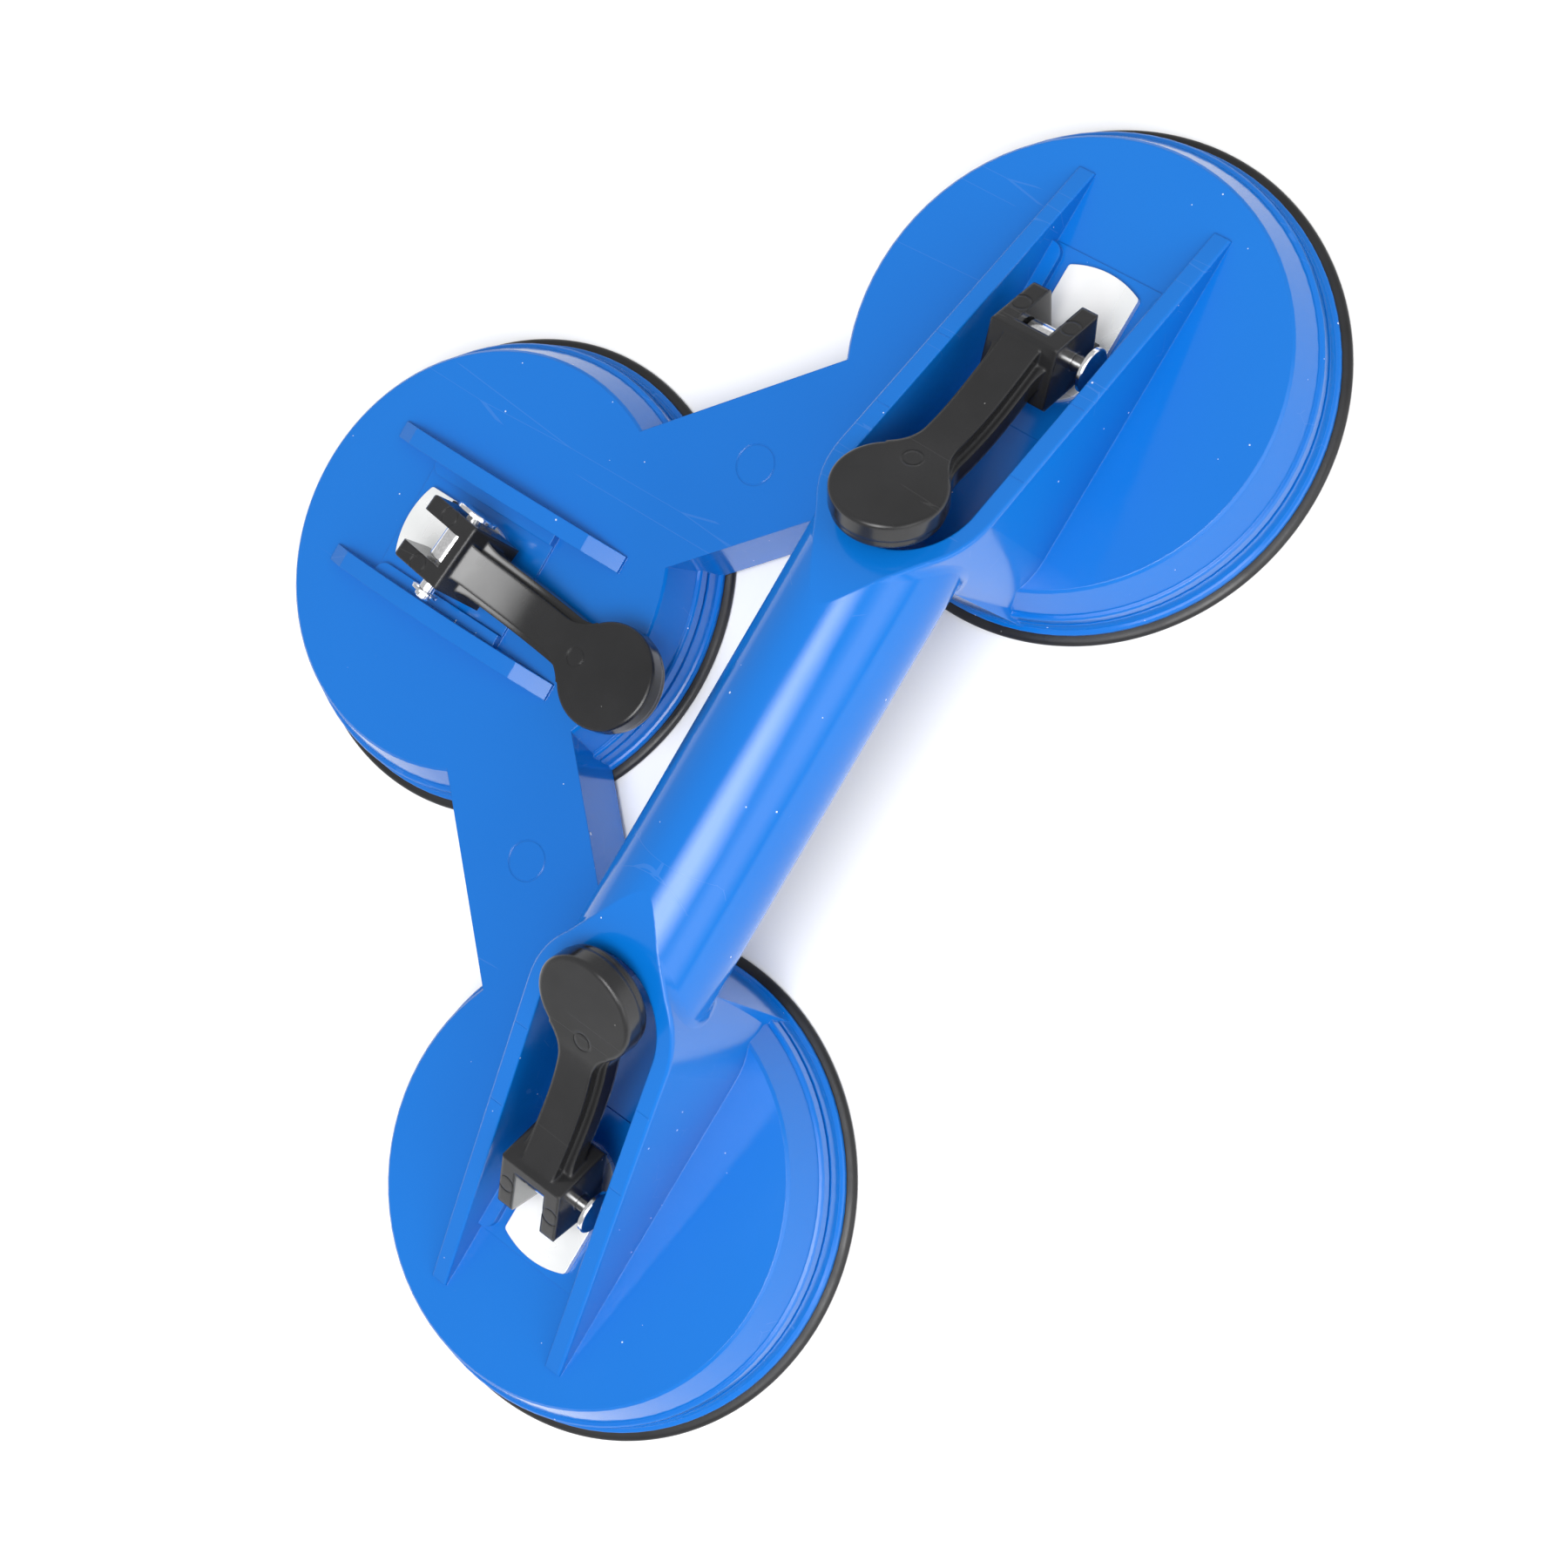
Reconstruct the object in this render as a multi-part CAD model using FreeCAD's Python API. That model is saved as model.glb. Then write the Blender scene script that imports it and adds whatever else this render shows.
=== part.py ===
import FreeCAD, Part
import os
from math import cos, degrees, hypot, pi, radians, sin, sqrt, tan
from FreeCAD import Vector

# Triple-cup vacuum lifter. All lengths are millimetres and all angles degrees.
# Row frame: origin on the ground plane under the middle of the outline, +X along
# the grip tube, +Y from the grip towards the rear cup, +Z up.
# Cup frame: origin on the cup's own axis at the ground, +X towards the grip, +Z up.

# ---- layout ----
CUP_PITCH = 150.0                      # between neighbouring cup centres, along an arm
HALF_SPAN = CUP_PITCH / sqrt(2.0)      # half the distance between the two grip cups
ROW_SHIFT = HALF_SPAN / 2.0            # puts the origin midway between grip line and rear cup
CUPS = {
    "right": {"x": HALF_SPAN, "y": -ROW_SHIFT, "heading": 180.0, "pin_head": 1},
    "left": {"x": -HALF_SPAN, "y": -ROW_SHIFT, "heading": 0.0, "pin_head": -1},
    "rear": {"x": 0.0, "y": ROW_SHIFT, "heading": -90.0, "pin_head": 1},
}
GRIP_CUPS = ("right", "left")

# ---- how near a point must be to count as lying on an edge or a face ----
ON_PLANE = 0.01
ON_CURVE = 0.05
SHORTEST_EDGE = 0.01

# ---- frame moulding: cup shells ----
TOP_Z = 20.3                           # upper face of the cup shells and arms
ROOF = 3.0                             # wall under that face
RIM_Z = 2.0                            # lower edge of the moulding
SHELL_TOP_R = 51.4
BEVEL_FOOT_R = 54.7
BEVEL_FOOT_Z = 11.0
BAND_R = 55.8                          # lower band, just under the bevel
BAND_FOOT_R = 56.6
GROOVE_Z = 7.7                         # shallow moulded groove round the band
GROOVE_DEPTH = 0.5
GROOVE_HALF = 0.5
LIP_R = 57.6
LIP_TOP_Z = 3.3
CAVITY_TOP_R = 48.4
CAVITY_FOOT_R = 53.4

# ---- frame moulding: arms ----
ARM_W = 34.0
ARM_WALL = 3.0
EJECTOR_R = 5.0                        # moulding witness circle half way along each arm
EJECTOR_LINE = 0.35
EJECTOR_DEPTH = 0.1
LEVER_EJECTOR_R = 2.4

# ---- frame moulding: lever guards on the two grip cups ----
GUARD_OUT = 20.2                       # half width outside
GUARD_IN = 15.7                        # half width inside
GUARD_START = -39.3                    # end away from the grip
GUARD_END_H = 0.8                      # blunt end of the rib above the shell
GUARD_CENTRE = 39.5                    # centre of the rounded end round the lever head
GUARD_RISE = 23.2                      # slope of the guard's upper edge

GUARD_MARKS = (8.8, 28.3)              # fine mould insert lines across the rib tops
JOIN_R = 4.0                           # blend where the grip meets the guard
CROWN_R = 45.0                         # the guard's slope eases into the grip's crown
CROWN_LIFT = 0.25                      # the arc levels out this far above the crown
OUTER_RIM_R = 0.8
INNER_RIM_R = 0.5
MARK_WIDTH = 0.2
MARK_DEPTH = 0.08
END_WALL_R = 56.8                      # the guard's end stops flush above the shell's lip
WEB_FOOT_HALF_W = 17.6                 # web that carries the grip down to the shell's lip
WEB_TOP_HALF_W = 12.0
WEB_TOP_Z = 38.0
GRIP_RELIEF = 0.3

# ---- frame moulding: ribs beside the rear lever ----
REAR_RIB_OUT = 19.4
REAR_RIB_IN = 15.1
REAR_RIB_HALF = 36.0
REAR_RIB_H = 6.2                       # crown, above the shell
REAR_RIB_FAR_RAMP = 5.5                # sloped ends of the rib
REAR_RIB_NEAR_RAMP = 10.0
REAR_RIB_RAMP_H = 3.6

# ---- frame moulding: seat under each cam ----
SEAT_FAR = -22.8
SEAT_NEAR = 17.4
SEAT_RISE = 0.6
GUIDE_IN = 12.3                        # low guide blocks beside the wear plate
GUIDE_H = 1.7
GUIDE_CORNER_R = 3.0

# ---- grip tube ----
GRIP_Z = 49.2
GRIP_R = 17.0
GRIP_BORE_R = 13.8
GRIP_SLOT_HALF = 10.5                  # moulding opening along the underside
GRIP_RIB_T = 2.4
GRIP_RIB_SET_BACK = 2.5
GRIP_RIB_COUNT = 5

# ---- cam plate ----
PLATE_R = 21.3
PLATE_HALF_W = 9.3
PLATE_T = 1.7
PLATE_CORNER_R = 0.9
PLATE_TOP_Z = TOP_Z + SEAT_RISE + PLATE_T

# ---- draw stud ----
SHANK_R = 3.7
SHANK_HOLE_R = 4.0
EYE_R = 4.3
EYE_HALF_W = 3.7
STUD_COLLAR_R = 6.5
STUD_COLLAR_T = 1.4

# ---- rubber pad and its backing plate ----
PAD_R = 59.7
PAD_LIP_TOP_R = 58.6
PAD_EDGE_Z = 0.9
PAD_TOP_Z = 1.8
PAD_SEAL_R = 50.0                      # the flat sealing ring is outside this radius
PAD_DISH = 1.9
PAD_MEMBRANE_TOP = 4.7
BACKING_R = 21.0
BACKING_T = 1.5
BACKING_CLEAR = 0.4                    # above the pad when the cup is released
BACKING_EDGE = 0.3

# ---- lever, in its own frame: pin at the origin, +X to the head, +Z to the upper face ----
LEVER_HALF_W = 8.7
FORK_HALF_GAP = 4.35
FORK_ROOT = 4.6
BLOCK_TOP = 7.85
BLOCK_TIP_TOP = -8.3
BLOCK_NECK_TOP = 7.3
BLOCK_TIP_R = 1.2                      # rounded upper corner of each prong
PRONG_CORNER_R = 1.6
CAM_NOSE_X = -5.8                      # rounded cam nose under the prongs
CAM_NOSE_Z = -3.6
CAM_NOSE_R = 3.9
HEEL_X = 11.0
HEEL_CORNER = 1.2
HEAD_X = 52.2
HEAD_R = 12.8
HEAD_TOP = -2.5
HEAD_T = 7.0
HEAD_STEP = 4.6                        # depth at which the head's side steps in
HEAD_STEP_IN = 0.45
HEAD_EDGE_R = 0.8
BLOCK_EDGE_R = 0.45
NECK_HALF_W = 4.6
NECK_BLOCK_HALF_W = 5.4                # the neck's upper ridge, where it leaves the block
NECK_START_X = 6.0
NECK_LEVEL_X = 39.0                    # from here on the neck's top is level with the head
NECK_T = 7.4
FLANGE_HALF_W = 6.3                    # wider lower half of the neck
FLANGE_BLOCK_HALF_W = 8.6
FLANGE_DROP = 3.0
NECK_FLARE_R = 11.0
LEVER_LOCKED_ANGLE = 38.6
LEVER_RELEASED_ANGLE = 3.0
REAR_LEVER_YAW = 6.3                   # the released lever has turned a little on its stud

# ---- pin and E-clip ----
PIN_R = 2.0
PIN_BORE_R = 2.05
PIN_L = 23.4                           # from under the head to the far end
PIN_HEAD_AT_LOCKED = 12.4              # the pin has end play and rests to one side
PIN_HEAD_AT_RELEASED = 9.5
PIN_HEAD_R = 5.2
PIN_HEAD_T = 1.1
PIN_HEAD_EDGE = 0.3
PIN_GROOVE_AT = 21.7
PIN_GROOVE_W = 0.7
PIN_GROOVE_R = 1.6
PIN_CHAMFER = 0.35
CLIP_R = 3.5
CLIP_T = 0.6
CLIP_GAP_HALF = 1.45

# ---- strokes ----
PIN_Z_LOCKED = 33.9
PIN_Z_RELEASED = 30.45


def polygon(points):
    """Closed wire through points given as Vectors."""
    return Part.makePolygon(points + [points[0]])


def side_prism(points, half_width):
    """Solid with the (x, z) outline, spread half_width to each side of y = 0."""
    wire = polygon([Vector(x, -half_width, z) for x, z in points])
    return Part.Face(wire).extrude(Vector(0, 2.0 * half_width, 0))


def turned(points):
    """Solid of revolution about Z from the (r, z) outline."""
    wire = polygon([Vector(r, 0, z) for r, z in points])
    return Part.Face(wire).revolve(Vector(0, 0, 0), Vector(0, 0, 1), 360.0)


def box(x0, x1, y0, y1, z0, z1):
    return Part.makeBox(x1 - x0, y1 - y0, z1 - z0, Vector(x0, y0, z0))


def cylinder_y(radius, y0, y1):
    return Part.makeCylinder(radius, y1 - y0, Vector(0, y0, 0), Vector(0, 1, 0))


def on_cup(shape, cup):
    """Copy of a cup-frame shape, placed at the named cup."""
    place = CUPS[cup]
    copy = shape.copy()
    copy.rotate(Vector(0, 0, 0), Vector(0, 0, 1), place["heading"])
    copy.translate(Vector(place["x"], place["y"], 0))
    return copy


# ---------------------------------------------------------------- frame moulding

def cup_shell():
    """Outside of one cup's shell, filled."""
    return turned([
        (0.0, RIM_Z),
        (LIP_R, RIM_Z),
        (LIP_R, LIP_TOP_Z - 0.3),
        (LIP_R - 0.4, LIP_TOP_Z),
        (BAND_FOOT_R, LIP_TOP_Z + 0.3),
        (BAND_R + 0.4, GROOVE_Z - GROOVE_HALF),
        (BAND_R + 0.2 - GROOVE_DEPTH, GROOVE_Z - GROOVE_HALF),
        (BAND_R + 0.2 - GROOVE_DEPTH, GROOVE_Z + GROOVE_HALF),
        (BAND_R + 0.2, GROOVE_Z + GROOVE_HALF),
        (BAND_R, BEVEL_FOOT_Z - 0.5),
        (BAND_R - 0.4, BEVEL_FOOT_Z - 0.1),
        (BEVEL_FOOT_R, BEVEL_FOOT_Z),
        (SHELL_TOP_R + 0.15, TOP_Z - 0.6),
        (SHELL_TOP_R - 0.5, TOP_Z),
        (0.0, TOP_Z),
    ])


def cup_cavity():
    """Hollow under one cup's shell."""
    return turned([
        (0.0, RIM_Z - 1.0),
        (CAVITY_FOOT_R, RIM_Z - 1.0),
        (CAVITY_FOOT_R, RIM_Z + 6.0),
        (CAVITY_TOP_R, TOP_Z - ROOF),
        (0.0, TOP_Z - ROOF),
    ])


def arm_between(cup, other):
    """Box-section arm and the channel under it, from one cup centre to the next."""
    start = CUPS[cup]
    end = CUPS[other]
    run = Vector(end["x"] - start["x"], end["y"] - start["y"], 0)
    heading = degrees(run.getAngle(Vector(1, 0, 0)))
    if run.y < 0:
        heading = -heading
    half = ARM_W / 2.0
    solid = box(0, run.Length, -half, half, RIM_Z, TOP_Z)
    inner = half - ARM_WALL
    channel = box(0, run.Length, -inner, inner, RIM_Z - 1.0, TOP_Z - ROOF)
    middle = Vector(run.Length / 2.0, 0, TOP_Z - EJECTOR_DEPTH)
    ring = Part.makeCylinder(EJECTOR_R, 1.0, middle)
    ring = ring.cut(Part.makeCylinder(EJECTOR_R - EJECTOR_LINE, 1.0, middle))
    for shape in (solid, channel, ring):
        shape.rotate(Vector(0, 0, 0), Vector(0, 0, 1), heading)
        shape.translate(Vector(start["x"], start["y"], 0))
    return solid, channel, ring


def u_prism(half_width, start, z0, height):
    """Straight-sided slot outline with one round end, standing on z0."""
    straight = box(start, GUARD_CENTRE, -half_width, half_width, z0, z0 + height)
    end = Part.makeCylinder(half_width, height, Vector(GUARD_CENTRE, 0, z0))
    return straight.fuse(end)


def guard_top(x):
    """Height of the guard's upper edge at cup-frame x."""
    return TOP_Z + GUARD_END_H + (x - GUARD_START) * tan(radians(GUARD_RISE))


def lever_guard():
    """Two rising ribs that join in a U round the lever head, as a filled wedge."""
    far = GUARD_CENTRE + GUARD_OUT + 1.0
    wedge = side_prism([
        (GUARD_START, RIM_Z),
        (far, RIM_Z),
        (far, guard_top(far)),
        (GUARD_START, guard_top(GUARD_START)),
    ], GUARD_OUT + 1.0)
    return u_prism(GUARD_OUT, GUARD_START, RIM_Z, 100.0).common(wedge)


def lever_pocket():
    """Space between the guard's ribs, open upwards."""
    return u_prism(GUARD_IN, GUARD_START - 1.0, TOP_Z, 100.0)


def above_guard():
    """Space over the guard's slope, which eases into the grip's crown on a wide arc."""
    crown = GRIP_Z + GRIP_R + CROWN_LIFT
    slope = radians(GUARD_RISE)
    start = Vector(GUARD_START, -GUARD_OUT, guard_top(GUARD_START))
    meet_x = GUARD_START + (crown - start.z) / tan(slope)
    tangent = CROWN_R * tan(slope / 2.0)
    ease_in = Vector(meet_x - tangent * cos(slope), -GUARD_OUT, crown - tangent * sin(slope))
    ease_out = Vector(meet_x + tangent, -GUARD_OUT, crown)
    middle = Vector(ease_out.x - CROWN_R * sin(slope / 2.0), -GUARD_OUT,
                    crown - CROWN_R * (1.0 - cos(slope / 2.0)))
    far_up = Vector(ease_out.x, -GUARD_OUT, 2.0 * crown)
    near_up = Vector(start.x, -GUARD_OUT, 2.0 * crown)
    edges = [
        Part.makeLine(start, ease_in),
        Part.Arc(ease_in, middle, ease_out).toShape(),
        Part.makeLine(ease_out, far_up),
        Part.makeLine(far_up, near_up),
        Part.makeLine(near_up, start),
    ]
    return Part.Face(Part.Wire(edges)).extrude(Vector(0, 2.0 * GUARD_OUT, 0))


def edges_on(shape, test):
    """Edges of shape whose points all pass the test."""
    found = []
    for edge in shape.Edges:
        if edge.Length > SHORTEST_EDGE and all(test(point) for point in edge.discretize(5)):
            found.append(edge)
    return found


def radius_from_guard_centre(point):
    return hypot(point.x - GUARD_CENTRE, point.y)


def on_join(point):
    """True on the line where the grip meets the guard's outside."""
    on_grip = abs(hypot(point.y, point.z - GRIP_Z) - GRIP_R) < ON_CURVE
    return on_grip and abs(radius_from_guard_centre(point) - GUARD_OUT) < ON_CURVE


def on_guard_top(point):
    return abs(point.z - guard_top(point.x)) < ON_PLANE


def on_inner_rim(point):
    """True on the guard's upper edge round the lever pocket."""
    straight = point.x < GUARD_CENTRE + ON_PLANE and abs(abs(point.y) - GUARD_IN) < ON_CURVE
    bend = point.x > GUARD_CENTRE - ON_PLANE and abs(radius_from_guard_centre(point) - GUARD_IN) < ON_CURVE
    return on_guard_top(point) and (straight or bend)


def on_outer_rim(point):
    """True on the guard's outer upper edges, short of the blend with the grip."""
    clear = point.x > GUARD_START + ON_PLANE or abs(abs(point.y) - GUARD_OUT) < ON_PLANE
    outside = point.x < GUARD_CENTRE + ON_PLANE or radius_from_guard_centre(point) > GUARD_OUT - 0.1
    return on_guard_top(point) and clear and outside and not on_inner_rim(point)


def guard_with_grip():
    """Guard and the near half of the grip, blended together, with the lever pocket cut."""
    length = HALF_SPAN - GUARD_CENTRE
    start = Vector(GUARD_CENTRE, 0, GRIP_Z)
    grip = Part.makeCylinder(GRIP_R, length, start, Vector(1, 0, 0))
    body = lever_guard().fuse(grip).removeSplitter()
    body = body.makeFillet(JOIN_R, edges_on(body, on_join))
    body = body.cut(above_guard()).cut(lever_pocket()).removeSplitter()
    outer = edges_on(body, on_outer_rim)
    body = body.makeFillet(OUTER_RIM_R, outer)
    body = body.makeFillet(INNER_RIM_R, edges_on(body, on_inner_rim))
    body = body.cut(beyond_end_wall()).fuse(grip_web())
    return body.cut(guard_marks())


def beyond_end_wall():
    """Space past the shell's outline, under the grip, where the guard's end stops."""
    outer = Part.makeCylinder(2.0 * END_WALL_R, GRIP_Z, Vector(0, 0, 0))
    inner = Part.makeCylinder(END_WALL_R, GRIP_Z, Vector(0, 0, 0))
    length = 3.0 * END_WALL_R
    grip = Part.makeCylinder(GRIP_R + GRIP_RELIEF, length, Vector(0, 0, GRIP_Z), Vector(1, 0, 0))
    return outer.cut(inner).cut(grip)


def grip_web():
    """Tapered web under the end of the grip, from its underside to the shell's lip."""
    outline = Part.makePolygon([
        Vector(GUARD_CENTRE, -WEB_FOOT_HALF_W, RIM_Z),
        Vector(GUARD_CENTRE, WEB_FOOT_HALF_W, RIM_Z),
        Vector(GUARD_CENTRE, WEB_TOP_HALF_W, WEB_TOP_Z),
        Vector(GUARD_CENTRE, -WEB_TOP_HALF_W, WEB_TOP_Z),
        Vector(GUARD_CENTRE, -WEB_FOOT_HALF_W, RIM_Z),
    ])
    web = Part.Face(outline).extrude(Vector(GUARD_CENTRE, 0, 0))
    shell_outline = Part.makeCylinder(END_WALL_R, GRIP_Z, Vector(0, 0, 0))
    return web.common(shell_outline).cut(lever_pocket())


def guard_marks():
    """Fine lines left across the guard's rib tops by mould inserts."""
    marks = []
    for x in GUARD_MARKS:
        z = guard_top(x) - MARK_DEPTH
        mark = box(-MARK_WIDTH / 2.0, MARK_WIDTH / 2.0, -GUARD_OUT - 1.0, GUARD_OUT + 1.0, 0.0, 5.0)
        mark.rotate(Vector(0, 0, 0), Vector(0, 1, 0), -GUARD_RISE)
        mark.translate(Vector(x, 0, z))
        marks.append(mark)
    return Part.makeCompound(marks)


def rear_rib(side):
    """One boat-shaped rib beside the rear lever; side is +1 or -1."""
    far = -REAR_RIB_HALF + REAR_RIB_FAR_RAMP
    near = REAR_RIB_HALF - REAR_RIB_NEAR_RAMP
    base = TOP_Z - 1.0
    foot = TOP_Z + GUARD_END_H
    ramp = TOP_Z + REAR_RIB_RAMP_H
    y0 = min(side * REAR_RIB_IN, side * REAR_RIB_OUT)
    corners = [
        Vector(far, y0, ramp),
        Vector(-REAR_RIB_HALF, y0, foot),
        Vector(-REAR_RIB_HALF, y0, base),
        Vector(REAR_RIB_HALF, y0, base),
        Vector(REAR_RIB_HALF, y0, foot),
        Vector(near, y0, ramp),
    ]
    edges = [Part.makeLine(corners[i], corners[i + 1]) for i in range(len(corners) - 1)]
    crown = Vector((far + near) / 2.0, y0, TOP_Z + REAR_RIB_H)
    edges.append(Part.Arc(corners[-1], crown, corners[0]).toShape())
    face = Part.Face(Part.Wire(edges))
    return face.extrude(Vector(0, REAR_RIB_OUT - REAR_RIB_IN, 0))


def cam_seat(rib_in):
    """Raised seat between the ribs, with a low guide block along each side."""
    wall = rib_in + 0.5
    seat = box(SEAT_FAR, SEAT_NEAR, -wall, wall, TOP_Z - 1.0, TOP_Z + SEAT_RISE)
    far = SEAT_FAR + 0.6
    height = SEAT_RISE + GUIDE_H + 1.0
    for side in (1, -1):
        y0 = min(side * GUIDE_IN, side * wall)
        y1 = max(side * GUIDE_IN, side * wall)
        block = box(far, SEAT_NEAR, y0, y1, TOP_Z - 1.0, TOP_Z - 1.0 + height)
        corner = []
        for edge in block.Edges:
            middle = edge.CenterOfMass
            if abs(middle.x - far) < ON_PLANE and abs(middle.y - side * GUIDE_IN) < ON_PLANE:
                corner.append(edge)
        seat = seat.fuse(block.makeFillet(GUIDE_CORNER_R, corner))
    return seat


def grip_hollow(length):
    """Moulding hollow of the grip, open along the underside, with cross ribs left in."""
    half = length / 2.0
    bore = Part.makeCylinder(GRIP_BORE_R, length, Vector(-half, 0, 0), Vector(1, 0, 0))
    slot = box(-half, half, -GRIP_SLOT_HALF, GRIP_SLOT_HALF, -GRIP_R - 1.0, 0.0)
    hollow = bore.fuse(slot)
    step = length / (GRIP_RIB_COUNT + 1)
    for index in range(1, GRIP_RIB_COUNT + 1):
        x = -half + index * step
        rib = box(x - GRIP_RIB_T / 2.0, x + GRIP_RIB_T / 2.0, -GRIP_BORE_R, GRIP_BORE_R,
                  -GRIP_R + GRIP_RIB_SET_BACK, GRIP_BORE_R)
        hollow = hollow.cut(rib)
    hollow.translate(Vector(0, -ROW_SHIFT, GRIP_Z))
    return hollow


def frame_moulding():
    """One blue moulding: three shells, two arms, guards, ribs and the grip."""
    body = on_cup(cup_shell(), "right")
    for cup in ("left", "rear"):
        body = body.fuse(on_cup(cup_shell(), cup))
    channels = []
    rings = []
    for cup in GRIP_CUPS:
        solid, channel, ring = arm_between(cup, "rear")
        body = body.fuse(solid)
        channels.append(channel)
        rings.append(ring)
    for cup in GRIP_CUPS:
        body = body.fuse(on_cup(guard_with_grip(), cup))
    for side in (1, -1):
        body = body.fuse(on_cup(rear_rib(side), "rear"))
    body = body.fuse(on_cup(cam_seat(REAR_RIB_IN), "rear"))
    for cup in GRIP_CUPS:
        body = body.fuse(on_cup(cam_seat(GUARD_IN), cup))
    shells = None
    for cup in CUPS:
        place = CUPS[cup]
        wall = Part.makeCylinder(LIP_R, 60.0, Vector(place["x"], place["y"], -10.0))
        shells = wall if shells is None else shells.fuse(wall)
    for cup in CUPS:
        body = body.cut(on_cup(cup_cavity(), cup))
        body = body.cut(on_cup(Part.makeCylinder(SHANK_HOLE_R, 60.0), cup))
    for channel in channels:
        body = body.cut(channel.cut(shells))
    for ring in rings:
        body = body.cut(ring)
    body = body.cut(grip_hollow(2.0 * (HALF_SPAN - GUARD_CENTRE - GUARD_OUT)))
    return body.removeSplitter()


# ---------------------------------------------------------------- cup hardware

def rubber_pad():
    """Rubber cup: flat sealing ring, shallow dish and a thicker membrane."""
    return turned([
        (0.0, PAD_DISH),
        (PAD_SEAL_R - 4.0, PAD_DISH),
        (PAD_SEAL_R, 0.0),
        (PAD_R, 0.0),
        (PAD_R, PAD_EDGE_Z),
        (PAD_LIP_TOP_R, PAD_TOP_Z),
        (CAVITY_FOOT_R - 1.0, PAD_TOP_Z),
        (CAVITY_FOOT_R - 5.0, PAD_MEMBRANE_TOP),
        (0.0, PAD_MEMBRANE_TOP),
    ])


def backing_plate(pin_z):
    """Steel disc that pulls the middle of the pad, for the given pin height."""
    z0 = PAD_MEMBRANE_TOP + BACKING_CLEAR + pin_z - PIN_Z_RELEASED
    return turned([
        (0.0, z0),
        (BACKING_R, z0),
        (BACKING_R, z0 + BACKING_T - BACKING_EDGE),
        (BACKING_R - BACKING_EDGE, z0 + BACKING_T),
        (0.0, z0 + BACKING_T),
    ])


def draw_stud(pin_z):
    """Stud from the backing plate up to the eye that carries the lever pin."""
    backing_top = PAD_MEMBRANE_TOP + BACKING_CLEAR + BACKING_T + pin_z - PIN_Z_RELEASED
    shank = Part.makeCylinder(SHANK_R, pin_z - backing_top, Vector(0, 0, backing_top))
    collar = Part.makeCylinder(STUD_COLLAR_R, STUD_COLLAR_T, Vector(0, 0, backing_top))
    eye = cylinder_y(EYE_R, -EYE_HALF_W, EYE_HALF_W)
    eye.translate(Vector(0, 0, pin_z))
    neck = Part.makeCone(SHANK_R, EYE_R, EYE_R, Vector(0, 0, pin_z - 2.0 * EYE_R + 1.0))
    neck = neck.common(box(-EYE_R, EYE_R, -EYE_HALF_W, EYE_HALF_W, 0, pin_z))
    bore = cylinder_y(PIN_BORE_R, -EYE_HALF_W - 1.0, EYE_HALF_W + 1.0)
    bore.translate(Vector(0, 0, pin_z))
    return shank.fuse(collar).fuse(neck).fuse(eye).cut(bore).removeSplitter()


def cam_plate():
    """Plated steel wear plate under the cam: wide arc at the far end, round near end."""
    z = PLATE_TOP_Z - PLATE_T
    blank = Part.makeCylinder(PLATE_R, PLATE_T, Vector(0, 0, z))
    strip = box(-PLATE_R, 0.0, -PLATE_HALF_W, PLATE_HALF_W, z, z + PLATE_T)
    strip = blank.common(strip).fuse(Part.makeCylinder(PLATE_HALF_W, PLATE_T, Vector(0, 0, z)))
    strip = strip.removeSplitter()
    far_corners = edges_on(strip, on_plate_corner)
    hole = Part.makeCylinder(SHANK_HOLE_R, 60.0)
    return strip.makeFillet(PLATE_CORNER_R, far_corners).cut(hole)


def on_plate_corner(point):
    """True on the upright edges where the plate's straight sides meet its far arc."""
    on_side = abs(abs(point.y) - PLATE_HALF_W) < ON_PLANE
    return on_side and point.x < -1.0 and abs(hypot(point.x, point.y) - PLATE_R) < ON_PLANE


# ---------------------------------------------------------------- lever

def on_block_side(point):
    """True on the outline of the block's two outer flanks, away from the neck."""
    return abs(abs(point.y) - LEVER_HALF_W) < ON_PLANE and point.x < HEEL_X - HEEL_CORNER + 0.01


def prong_corners():
    """Material outside the rounded plan of the two prong tips."""
    corners = None
    for side in (1, -1):
        x = BLOCK_TIP_TOP
        y = side * LEVER_HALF_W
        square = box(x - 1.5, x + PRONG_CORNER_R, min(y, y - side * PRONG_CORNER_R),
                     max(y, y - side * PRONG_CORNER_R), CAM_NOSE_Z + 2.0, BLOCK_TOP + 1.0)
        centre = Vector(x + PRONG_CORNER_R, y - side * PRONG_CORNER_R, CAM_NOSE_Z)
        square = square.cut(Part.makeCylinder(PRONG_CORNER_R, 30.0, centre))
        corners = square if corners is None else corners.fuse(square)
    return corners


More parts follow.
